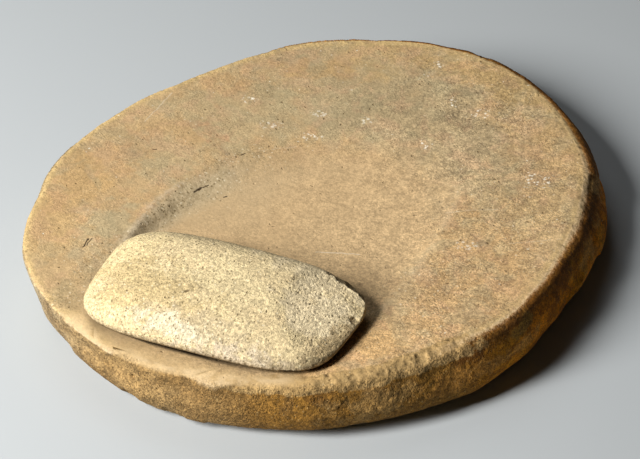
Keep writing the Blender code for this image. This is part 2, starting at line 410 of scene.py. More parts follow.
def scratchGroup():
    inputs = {"Start": (0.0, 0.0, 0.0), "End": (0.1, 0.0, 0.0), "Width": 0.001, "Breaks": 0.5}
    tree, given, made = shaderGroup("scratchLine", inputs, ("Mask",))
    flat = (1.0, 1.0, 0.0)
    wander = vectors(tree, "SCALE", cloud(tree, given["Vector"], 120.0, output=1), 0.004)
    spot = vectors(tree, "MULTIPLY", vectors(tree, "ADD", given["Vector"], wander), flat)
    start = vectors(tree, "MULTIPLY", given["Start"], flat)
    along = vectors(tree, "SUBTRACT", vectors(tree, "MULTIPLY", given["End"], flat), start)
    away = vectors(tree, "SUBTRACT", vectors(tree, "SUBTRACT", spot, start), (0.002, 0.002, 0.0))
    ahead = vectors(tree, "DOT_PRODUCT", away, along)
    share = maths(tree, "DIVIDE", ahead, vectors(tree, "DOT_PRODUCT", along, along), clamp=True)
    side = vectors(tree, "LENGTH", vectors(tree, "SUBTRACT", away, vectors(tree, "SCALE", along, share)))
    line = ramp(tree, maths(tree, "DIVIDE", side, given["Width"]), 1.0, 0.3)
    gaps = cloud(tree, given["Vector"], 260.0)
    level = product(tree, given["Breaks"], 0.6)
    feed(made, [product(tree, line, ramp(tree, gaps, level, total(tree, level, 0.12)))])
    return tree


effects = {
    "grain": grainGroup(),
    "patches": patchesGroup(),
    "marks": marksGroup(),
    "placed": placedGroup(),
    "scratch": scratchGroup(),
}


class Finish:
    # one stone's material, built up in layers from its base colour
    # where a mask is asked for, a name stands for one of the stone's patches, marks or scaled masks,
    # or else for the values painted on the piece

    def __init__(self, name, stone):
        self.stone = stone
        self.material = bpy.data.materials.new(name)
        self.material.use_nodes = True
        self.tree = self.material.node_tree
        self.shader = self.tree.nodes["Principled BSDF"]
        spot = place(self.tree, "ShaderNodeTexCoord").outputs["Object"]
        self.spot = vectors(self.tree, "SUBTRACT", spot, home)
        self.color = (*stone["baseColor"], 1.0)
        self.masks = {}
        self.bumps = []

    def made(self, name):
        for effect in ("patches", "marks"):
            if name in self.stone[effect]:
                return self.use(effect, *self.stone[effect][name])
        if name in self.stone["scaled"]:
            return self.scaled(*self.stone["scaled"][name])
        return place(self.tree, "ShaderNodeAttribute", attribute_name=name).outputs["Fac"]

    def mask(self, *masks):
        for name in masks:
            if isinstance(name, str) and name not in self.masks:
                self.masks[name] = self.made(name)
        return product(self.tree, *(self.masks[one] if isinstance(one, str) else one for one in masks))

    def scaled(self, mask, factor, base):
        # base where the mask is 0, changed by the factor where it is 1
        return maths(self.tree, "MULTIPLY_ADD", self.mask(mask), self.mask(factor), base)

    def calmed(self, value, share):
        # draws a value from 0 to 1 toward its middle
        return self.scaled(centred(self.tree, self.mask(value)), share, 0.5)

    def use(self, effect, *values, output="Mask"):
        # the values are in the order of the effect's own inputs
        node = place(self.tree, "ShaderNodeGroup", node_tree=effects[effect])
        feed(node.inputs, (self.spot, *values))
        return node.outputs[output]

    def grain(self):
        return [self.use("grain", *self.stone["grain"], output=output) for output in ("Tone", "Height")]

    def layer(self, color, *masks, blend="MIX"):
        color = color if isinstance(color, bpy.types.NodeSocket) else (*color, 1.0)
        node = place(self.tree, "ShaderNodeMix", data_type="RGBA", blend_type=blend)
        feed([node.inputs[index] for index in (0, 6, 7)], (self.mask(*masks), self.color, color))
        self.color = node.outputs[2]

    def layers(self, name):
        for color, *masks in self.stone["layers"][name]:
            self.layer(color, *masks)

    def tones(self, tones, fraySize):
        for centre, reach, turn, color, strength, fray in tones:
            mask = self.use("placed", centre, reach, turn, fray, 0.45 * min(reach[:2]) + fraySize)
            self.layer(color, mask, strength)

    def shade(self, value, low, high):
        # multiplies the colour by a factor that runs from low to high with the value
        factor = ramp(self.tree, self.mask(value), 0.0, 1.0, low, high)
        grey = place(self.tree, "ShaderNodeCombineColor")
        feed(grey.inputs, [factor] * 3)
        self.layer(grey.outputs[0], 1.0, blend="MULTIPLY")

    def bump(self, depth, *heights):
        self.bumps.append(self.mask(*heights, depth))

    def done(self, shine, roughness):
        height = total(self.tree, *self.bumps)
        bump = place(self.tree, "ShaderNodeBump", {"Strength": 1.0, "Distance": 1.0, "Height": height})
        labels = ("Base Color", "Roughness", "Specular IOR Level", "Normal")
        sockets = [self.shader.inputs[label] for label in labels]
        feed(sockets, (self.color, roughness, shine, bump.outputs[0]))
        return self.material


slab = {
    "voxel": 0.0013,
    "mostTriangles": 196000,
    "middle": (-0.0066, -0.014),  # middle of the rim's oval
    "radius": 0.265,
    "waves": ((2, 0.023, 73.0), (3, 0.007, 98.0), (5, 0.0013, 37.0), (7, 0.0021, 27.0)),
    # bearing, breadth, how far the rim stands out of those waves
    "swells": (
        (-28.0, 16.0, -0.0065),
        (14.0, 20.0, -0.0035),
        (110.0, 12.0, -0.0045),
        (160.0, 20.0, 0.0078),
        (-160.0, 10.0, 0.004),
        (-137.0, 10.0, 0.0025),
    ),
    "troughMiddle": (0.003, -0.1),
    "troughHalfWidth": 0.129,
    "troughReach": 0.228,
    "troughSkew": 0.36,
    "seed": 41,
    # bearing in degrees, half width along the rim, how far the rim steps in (or out, below zero)
    "rimSteps": (
        (-150.0, 0.018, 0.0018),
        (-99.0, 0.018, -0.0014),
        (-85.5, 0.016, 0.0024),
        (-64.0, 0.016, -0.0016),
        (-43.0, 0.012, 0.0022),
        (-33.0, 0.034, 0.0045),
        (-7.0, 0.014, 0.0014),
        (12.0, 0.034, 0.0022),
        (27.0, 0.044, 0.0055),
        (90.0, 0.02, 0.0014),
        (132.0, 0.014, 0.0014),
        (158.0, 0.014, 0.0012),
        (178.0, 0.016, 0.0012),
    ),
    # bearings between which the rim has crumbled into small teeth, and how strongly
    "crumbled": (
        (-52.0, -20.0, 1.0),
        (-20.0, 12.0, 0.45),
        (12.0, 46.0, 0.4),
        (46.0, 84.0, 0.6),
        (-78.0, -52.0, 0.7),
        (-112.0, -100.0, 0.4),
        (84.0, 170.0, 0.25),
    ),
    "chipCount": 520,
    "crispRim": 0.0038,  # how far the rounding of the rim is filled out on the thick side
    "mellowRounds": (16, 45),  # over the whole top, then at the front left
    "ledge": 0.0585,
    "rimLevel": (0.061, 0.0045, -71.0),  # mean height of the rim, how much it varies, its highest bearing
    "facetGap": 0.036,
    "facets": (0.03, 0.0002, 0.014),  # how much they lean, how uneven they lie, how softly they meet
    # centre, reach, depth of the larger scars on the flank
    "scars": (
        ((-0.048, -0.294, 0.046), (0.021, 0.02, 0.0115), 0.0036),
        ((-0.022, -0.296, 0.04), (0.02, 0.02, 0.012), 0.0024),
        ((-0.033, -0.295, 0.04), (0.003, 0.01, 0.0026), 0.0034),
        ((-0.085, -0.288, 0.04), (0.02, 0.02, 0.012), 0.002),
        ((0.01, -0.29, 0.047), (0.02, 0.018, 0.008), 0.0014),
        ((0.06, -0.275, 0.05), (0.016, 0.016, 0.008), 0.0016),
        ((0.128, -0.243, 0.053), (0.014, 0.016, 0.005), 0.0014),
        ((0.158, -0.214, 0.056), (0.018, 0.02, 0.005), 0.0014),
        ((0.2, -0.165, 0.05), (0.012, 0.014, 0.008), 0.0012),
        ((0.226, 0.13, 0.05), (0.026, 0.04, 0.012), 0.003),
        ((0.243, 0.08, 0.046), (0.018, 0.018, 0.012), 0.0022),
        ((0.252, 0.012, 0.022), (0.02, 0.014, 0.009), 0.0045),
        ((-0.15, 0.19, 0.036), (0.04, 0.03, 0.014), 0.0022),
        ((-0.225, -0.13, 0.03), (0.02, 0.04, 0.014), 0.002),
        ((0.06, 0.275, 0.03), (0.045, 0.02, 0.012), 0.0024),
    ),
    # notches where the flank meets the floor: bearing, half width, depth
    "footSteps": (
        (-97.0, 0.01, 0.003),
        (-88.0, 0.008, 0.0022),
        (-83.0, 0.012, -0.0018),
        (-52.0, 0.01, 0.002),
    ),
    # the pale worn line where the top ends along the front
    "lip": (
        (-0.119, -0.278),
        (-0.095, -0.285),
        (-0.068, -0.29),
        (-0.055, -0.29),
        (-0.042, -0.285),
        (-0.024, -0.287),
        (-0.007, -0.286),
        (0.012, -0.284),
        (0.032, -0.283),
        (0.046, -0.28),
        (0.061, -0.271),
        (0.076, -0.263),
        (0.091, -0.255),
        (0.103, -0.245),
    ),
    "leftCrest": ((-0.131, -0.16), (-0.137, -0.128), (-0.14, -0.1), (-0.14, -0.078), (-0.134, -0.055)),
    "rightCrest": ((0.123, -0.125), (0.124, -0.075), (0.119, -0.02), (0.112, 0.033), (0.102, 0.071)),
    "hollows": (
        ((0.056, 0.178, 0.052), (0.028, 0.014, 0.05), 0.0014),
        ((-0.137, 0.128, 0.053), (0.006, 0.004, 0.05), 0.001),
        ((-0.19, -0.02, 0.056), (0.02, 0.03, 0.05), 0.0007),
        ((0.19, 0.02, 0.057), (0.03, 0.04, 0.05), 0.0006),
        ((-0.08, 0.185, 0.053), (0.02, 0.012, 0.05), 0.0008),
        ((0.01, 0.165, 0.053), (0.03, 0.014, 0.05), 0.0007),
    ),
    "skin": {
        "Swell Size": 0.05,
        "Swell Height": 0.0005,
        "Peck Size": 0.0055,
        "Peck Height": 0.0007,
        "Scoop Size": 0.0058,
        "Scoop Height": 0.0005,
        "Pit Size": 0.009,
        "Pit Depth": 0.001,
        "Pit Share": 0.34,
        "Seed": 3.0,
    },
    "baseColor": (0.5, 0.35, 0.182),
    "scratchColor": (0.66, 0.55, 0.39),
    "crackColor": (0.045, 0.027, 0.013),
    "spotColor": (0.9, 0.83, 0.68),
    "grain": (0.0013, 2.0),  # size, seed
    # size, cover, softness, seed
    "patches": {
        "ochre": (0.11, 0.55, 0.1, 1.0),
        "pink": (0.026, 0.4, 0.07, 41.0),
        "sage": (0.03, 0.36, 0.06, 43.0),
        "ridge": (0.012, 0.7, 0.1, 3.0),
        "brown": (0.034, 0.5, 0.1, 5.0),
        "olive": (0.04, 0.45, 0.08, 15.0),
        "deep": (0.02, 0.38, 0.07, 8.0),
        "fray": (0.01, 0.5, 0.2, 33.0),
        "mottle": (0.018, 0.5, 0.16, 11.0),
        "freckle": (0.0042, 0.5, 0.12, 13.0),
        "busy": (0.04, 0.5, 0.1, 17.0),
        "pebbles": (0.0036, 0.5, 0.1, 51.0),
    },
    # size, share, fill, seed
    "marks": {
        "flecks": (0.0066, 0.3, 0.14, 4.0),
        "powder": (0.0042, 0.5, 0.24, 9.0),
        "sparkle": (0.0027, 0.5, 0.28, 35.0),
        "rareFlecks": (0.007, 0.16, 0.12, 10.0),
        "pits": (0.0065, 0.34, 0.17, 6.0),
        "peckShadowSpecks": (0.003, 0.6, 0.27, 19.0),
        "peckLitSpecks": (0.003, 0.5, 0.25, 37.0),
        "hollow": (0.0034, 0.9, 0.3, 47.0),
        "chalky": (0.0038, 0.7, 0.26, 45.0),
        "crumbs": (0.0036, 0.95, 0.46, 49.0),
    },
    # mask, factor, base
    "scaled": {
        "untrodden": ("trough", -1.0, 1.0),
        "fleckShare": ("busy", 0.5, 0.35),
        "sparkleShare": ("busy", 0.3, 0.25),
        "pitShare": ("trough", -0.8, 1.0),
        "chipShare": ("patina", -0.2, 0.4),
        "peckLitShare": ("patina", -0.35, 0.55),
        "troughCalm": ("trough", -0.25, 1.0),
        "livelyGrain": ("lively", 0.75, 0.6),
        "busyGrain": ("busy", 0.5, 0.75),
    },
    # colour, masks and strength
    "layers": {
        "ground": (((0.5, 0.325, 0.15), "ochre", 0.55),),
        "trough": (((0.565, 0.398, 0.215), "trough", 0.8),),
        "top": (
            ((0.545, 0.33, 0.195), "pink", "top", "untrodden", 0.3),
            ((0.405, 0.335, 0.195), "sage", "top", "untrodden", 0.36),
            ((0.56, 0.395, 0.18), "rim", "ridge", 0.55),
            ((0.6, 0.43, 0.195), "leftRim", "ridge", 0.75),
        ),
        # buff at the left, brown in front, turning to a dark glossy brown skin on the right, with painted
        # shade on the rounding of the crisp rim
        "flank": (
            ((0.285, 0.18, 0.072), "side"),
            ((0.335, 0.277, 0.175), "side", "pale"),
            ((0.252, 0.123, 0.02), "side", "front", 0.95),
            ((0.17, 0.083, 0.016), "side", "brown", 0.4),
            ((0.6, 0.205, 0.007), "side", "patina", 0.95),
            ((0.5, 0.235, 0.016), "side", "patina", "olive", 0.6),
            ((0.27, 0.09, 0.006), "side", "patina", "deep", 0.75),
            # painted shade on the rounding of the crisp rim, where the top turns away from the lamp
            ((0.11, 0.048, 0.01), "shadedBevel", 0.85),
            ((0.3, 0.195, 0.085), "under", 0.8),
        ),
        # the pecked band and the paler chips along the rim, and painted light on the ledge
        "edgeWearAndLitLedge": (
            ((0.4, 0.262, 0.108), "frayedBand", 0.8),
            ((0.5, 0.34, 0.15), "chip", "chipShare"),
            # painted light on the ledge before the handstone, which slopes away from the lamp
            ((0.62, 0.45, 0.24), "ledge", 0.3),
        ),
        "marks": (
            ((0.76, 0.67, 0.5), "flecks", "top", "untrodden", "fleckShare"),
            ((0.68, 0.54, 0.33), "powder", "top", "untrodden", "busy", "lively", 0.6),
            ((0.74, 0.6, 0.38), "sparkle", "untrodden", "top", "lively", "sparkleShare"),
            ((0.66, 0.54, 0.36), "rareFlecks", "top", 0.45),
            ((0.2, 0.125, 0.055), "pits", "pitShare", 0.62),
            # dark specks: painted shade of the pecking on the flank and the pecked band
            ((0.105, 0.052, 0.014), "peckShadowSpecks", "coarse", 0.62),
            # pale specks: painted light on the grains of the pecking
            ((0.52, 0.345, 0.14), "peckLitSpecks", "coarse", "peckLitShare"),
        ),
        # the pebbly wall of the trough with painted light where it faces away from the lamp, dust along the
        # rim and the worn crests
        "edges": (
            # painted light on the wall of the trough, which faces away from the lamp
            ((0.6, 0.49, 0.31), "step", 0.75),
            ((0.33, 0.245, 0.13), "pebbles", "verge", 0.55),
            ((0.19, 0.135, 0.062), "hollow", "verge", 0.85),
            ((0.78, 0.67, 0.47), "chalky", "verge", 0.85),
            ((0.64, 0.47, 0.29), "dust", "dusty", 0.5),
            ((0.66, 0.5, 0.3), "lip", "ridge", 0.75),
            ((0.62, 0.51, 0.36), "leftCrest", "ridge", 0.5),
            ((0.6, 0.47, 0.29), "rightCrest", "ridge", 0.4),
        ),
        # painted shadow on the top round the foot of the handstone
        "contactShadowLayers": (((0.022, 0.013, 0.006), "paintedContactShadow"),),
    },
    # tones of the top, under and over the paler trough: centre, reach, turn, colour, strength, fray
    "lowTones": (
        ((0.0, 0.165), (0.185, 0.1), 0.1, (0.43, 0.33, 0.185), 0.8, 0.7),
        ((-0.15, 0.075), (0.07, 0.06), 0.6, (0.45, 0.35, 0.195), 0.65, 0.9),
        ((-0.06, 0.115), (0.06, 0.04), 0.1, (0.43, 0.345, 0.198), 0.5, 0.9),
        ((0.105, 0.11), (0.065, 0.06), 0.0, (0.45, 0.335, 0.19), 0.6, 0.9),
        ((-0.16, -0.145), (0.036, 0.03), 0.8, (0.455, 0.37, 0.215), 0.65, 1.0),
        ((-0.172, -0.03), (0.04, 0.045), 0.5, (0.45, 0.355, 0.2), 0.55, 1.0),
        ((-0.148, -0.195), (0.022, 0.026), -0.6, (0.48, 0.385, 0.235), 0.55, 1.0),
    ),
    "highTones": (
        ((-0.222, -0.11), (0.036, 0.095), 0.0, (0.535, 0.35, 0.158), 0.8, 0.8),
        ((-0.205, -0.195), (0.04, 0.045), 0.3, (0.545, 0.37, 0.175), 0.75, 0.8),
        ((0.178, -0.05), (0.052, 0.13), 0.15, (0.53, 0.34, 0.16), 0.75, 0.8),
        ((0.18, 0.08), (0.045, 0.06), 0.15, (0.5, 0.352, 0.176), 0.6, 0.8),
        ((0.125, -0.195), (0.07, 0.05), 0.8, (0.6, 0.38, 0.17), 0.8, 0.7),
        ((0.03, -0.278), (0.12, 0.022), 0.1, (0.455, 0.312, 0.148), 0.75, 0.6),
        ((-0.11, -0.268), (0.05, 0.024), -0.3, (0.58, 0.43, 0.225), 0.7, 0.6),
        ((0.06, 0.25), (0.11, 0.036), -0.2, (0.47, 0.318, 0.138), 0.75, 0.8),
        ((-0.09, 0.215), (0.06, 0.04), 0.55, (0.48, 0.33, 0.15), 0.6, 0.9),
        ((-0.12, 0.17), (0.05, 0.018), 0.5, (0.5, 0.318, 0.14), 0.5, 0.9),
        ((0.165, 0.175), (0.05, 0.045), -0.6, (0.475, 0.312, 0.145), 0.6, 0.9),
        ((-0.185, 0.11), (0.03, 0.03), 0.6, (0.5, 0.318, 0.145), 0.5, 1.0),
        ((-0.154, 0.028), (0.024, 0.011), -0.3, (0.51, 0.295, 0.16), 0.6, 1.0),
        ((0.05, 0.182), (0.03, 0.018), 0.1, (0.34, 0.255, 0.145), 0.6, 1.0),
        ((0.012, 0.215), (0.024, 0.03), 0.1, (0.38, 0.3, 0.17), 0.45, 1.2),
        ((-0.04, 0.16), (0.03, 0.024), 0.3, (0.37, 0.29, 0.16), 0.45, 1.2),
        ((-0.135, 0.12), (0.022, 0.022), 0.3, (0.39, 0.31, 0.17), 0.45, 1.2),
        ((0.14, 0.095), (0.02, 0.03), 0.0, (0.4, 0.3, 0.16), 0.45, 1.2),
    ),
    # stains of the flank: centre, reach, colour, strength
    "stains": (
        ((0.128, -0.243, 0.052), (0.012, 0.02, 0.007), (0.15, 0.068, 0.015), 0.6),
        ((0.168, -0.21, 0.052), (0.012, 0.024, 0.01), (0.15, 0.068, 0.015), 0.6),
        ((0.106, -0.256, 0.046), (0.008, 0.014, 0.014), (0.15, 0.08, 0.022), 0.6),
        ((0.134, -0.242, 0.038), (0.016, 0.014, 0.014), (0.15, 0.085, 0.024), 0.3),
        ((0.164, -0.208, 0.036), (0.04, 0.042, 0.018), (0.33, 0.2, 0.07), 0.65),
        ((0.219, -0.133, 0.053), (0.012, 0.022, 0.008), (0.13, 0.045, 0.006), 0.75),
        ((0.245, 0.0, 0.05), (0.014, 0.028, 0.012), (0.14, 0.048, 0.006), 0.75),
        ((0.21, -0.163, 0.036), (0.016, 0.03, 0.012), (0.47, 0.225, 0.048), 0.8),
        ((0.234, -0.118, 0.036), (0.014, 0.03, 0.01), (0.49, 0.235, 0.052), 0.8),
        ((0.245, -0.08, 0.036), (0.012, 0.03, 0.008), (0.47, 0.225, 0.048), 0.8),
        ((0.248, 0.062, 0.04), (0.012, 0.026, 0.012), (0.45, 0.22, 0.048), 0.8),
        ((0.239, -0.075, 0.053), (0.012, 0.022, 0.008), (0.28, 0.165, 0.036), 0.7),
        ((0.217, 0.149, 0.05), (0.016, 0.02, 0.012), (0.52, 0.31, 0.11), 0.7),
        ((0.24, 0.103, 0.046), (0.01, 0.012, 0.008), (0.44, 0.23, 0.06), 0.7),
    ),
    # start, end, width, strength, breaks
    "scratches": (
        ((0.026, -0.071), (0.063, -0.055), 0.001, 0.8, 0.4),
        ((0.108, 0.036), (0.152, 0.062), 0.0009, 0.38, 0.55),
        ((0.183, 0.018), (0.224, 0.044), 0.0009, 0.38, 0.55),
        ((-0.219, 0.006), (-0.222, 0.06), 0.0011, 0.45, 0.52),
        ((-0.1, 0.03), (-0.072, 0.058), 0.0009, 0.25, 0.55),
    ),
    "cracks": (
        ((-0.1585, -0.188), (-0.1613, -0.1745), 0.0012, 0.94, 0.0),
        ((-0.157, -0.1835), (-0.1592, -0.173), 0.0007, 0.94, 0.0),
        ((-0.1205, -0.056), (-0.1183, -0.047), 0.0013, 0.94, 0.0),
        ((-0.1183, -0.047), (-0.1145, -0.039), 0.0007, 0.94, 0.0),
        ((-0.1113, 0.015), (-0.1085, 0.0195), 0.0011, 0.94, 0.0),
        ((-0.188, -0.0262), (-0.185, -0.0238), 0.0011, 0.94, 0.0),
        ((-0.095, -0.0418), (-0.0932, -0.0395), 0.001, 0.94, 0.0),
    ),
    # centre, reach, strength
    "whiteSpots": (
        ((-0.15, 0.095, 0.053), 0.006, 0.95),
        ((-0.07, 0.078, 0.053), 0.01, 0.6),
        ((-0.11, 0.07, 0.053), 0.009, 0.5),
        ((-0.076, 0.114, 0.053), 0.008, 0.5),
        ((-0.029, 0.127, 0.05), 0.006, 0.7),
        ((0.04, 0.122, 0.05), 0.007, 0.8),
        ((0.034, 0.193, 0.053), 0.007, 0.95),
        ((0.068, 0.192, 0.054), 0.008, 0.85),
        ((0.165, 0.118, 0.056), 0.012, 0.75),
        ((-0.012, 0.221, 0.053), 0.006, 0.75),
        ((-0.007, 0.245, 0.053), 0.005, 0.75),
        ((0.15, -0.002, 0.053), 0.009, 0.5),
    ),
}


def turnFrom(bearing, where):
    return (bearing - where + 180.0) % 360.0 - 180.0


def rimRadius(angle):
    radius = np.full(len(angle), slab["radius"])
    for lobes, height, crest in slab["waves"]:
        radius += height * np.cos(lobes * (angle - math.radians(crest)))
    for bearing, breadth, height in slab["swells"]:
        radius += height * np.exp(-((turnFrom(np.degrees(angle), bearing) / breadth) ** 2))
    return radius


def slabHold(middle):
    # the rim is crisp on the thick right-hand side and worn round at the front left
    if middle[2] < 0.03:
        return 0.2
    bearing = math.degrees(math.atan2(middle[1] - slab["middle"][1], middle[0] - slab["middle"][0]))
    return 0.25 + 0.55 * float(smooth(bearing, -100.0, -50.0)) * float(smooth(bearing, 130.0, 90.0))


def innerTop(spots, facing):
    # the whole top inside the rim, then its front left
    plan = spots[:, :2] - np.array(slab["middle"])
    inset = rimRadius(np.arctan2(plan[:, 1], plan[:, 0])) - np.hypot(*plan.T)
    inner = (facing[:, 2] > 0.4) & (spots[:, 2] > 0.02)
    front = inner & (inset > 0.007) & (spots[:, 1] < -0.225) & (spots[:, 0] < 0.1)
    return inner & (inset > 0.009), front


def underStone(spots):
    # how far each spot lies inside the outline of the handstone, seen from above
    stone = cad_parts["handstone"]
    corners = np.array([corner.co[:2] for corner in stone.data.vertices]) - home[:2]
    turns = np.radians(np.arange(0.0, 360.0, 6.0))
    ways = np.column_stack((np.cos(turns), np.sin(turns)))
    return (np.max(corners @ ways.T, axis=0) - spots[:, :2] @ ways.T).min(axis=1)


def steppedIn(spots, bearing, rim, share, side):
    # steps in the rim's line, fading out down the flank, and notches along the foot
    nearRim = smooth(share, 0.9, 0.99) * smooth(spots[:, 2], 0.018, 0.05)
    nearFoot = side * smooth(spots[:, 2], 0.022, 0.01)
    inward = np.zeros(len(spots))
    for where, width, depth in slab["rimSteps"]:
        inward += depth * np.exp(-((np.radians(turnFrom(bearing, where)) * rim / width) ** 2)) * nearRim
    for where, width, depth in slab["footSteps"]:
        away = np.abs(np.radians(turnFrom(bearing, where)) * rim)
        inward += depth * smooth(away, width, width * 0.6) * nearFoot
    return inward


def chippedRim(spots, bearing, share, rng):
    # small chips all along the rim, more and deeper where it has crumbled
    chipped = np.zeros(len(spots))
    close = np.nonzero((share > 0.93) & (spots[:, 2] > 0.034))[0]
    for _ in range(slab["chipCount"]):
        turn = rng.uniform(-math.pi, math.pi)
        where = math.degrees(turn)
        force = max([0.0] + [strength for start, end, strength in slab["crumbled"] if start < where < end])
        edgy = float(smooth(where, -42.0, -24.0)) * float(smooth(where, 120.0, 90.0))
        size = (0.0014 + 0.0046 * rng.random() ** 4) * (0.8 + 0.4 * force) * (1.0 - 0.35 * edgy)
        inset, drop = rng.uniform(-0.002, 0.0012), rng.uniform(-0.007, 0.0005)
        depth = rng.uniform(0.1, 0.26) * size * (0.4 + 0.8 * force)
        reach = rimRadius(np.array([turn]))[0] - inset
        near = close[np.abs(turnFrom(bearing[close], where)) < 3.0]
        if not len(near):
            continue
        height = spots[near][:, 2].max() + drop
        middle = np.array((math.cos(turn) * reach, math.sin(turn) * reach, height))
        middle[:2] += slab["middle"]
        away = np.sqrt((((spots[near] - middle) / size) ** 2).sum(1))
        chipped[near] = np.maximum(chipped[near], depth * np.clip(1.0 - away**2, 0.0, 1.0) ** 0.6)
    return chipped


def brokenFaces(spots, top, side, rng):
    # flat broken faces and scars on the flank, and low hollows in the top
    flank = np.nonzero(side > 0.2)[0]
    seeds = spread(spots[flank], 300, slab["facetGap"], rng)
    height = np.zeros(len(spots))
    tall = np.array((1.0, 1.0, 1.5))
    height[flank] = facets(spots[flank] * tall, seeds * tall, *slab["facets"], rng)
    height = np.clip(height, -0.0016, 0.0012) * side * smooth(spots[:, 2], 0.004, 0.012)
    for centre, reach, depth in slab["scars"]:
        height -= scoop(spots, centre, reach, depth) * (side + top * 0.6)
    for centre, reach, depth in slab["hollows"]:
        height -= scoop(spots, centre, reach, depth) * top
    return height


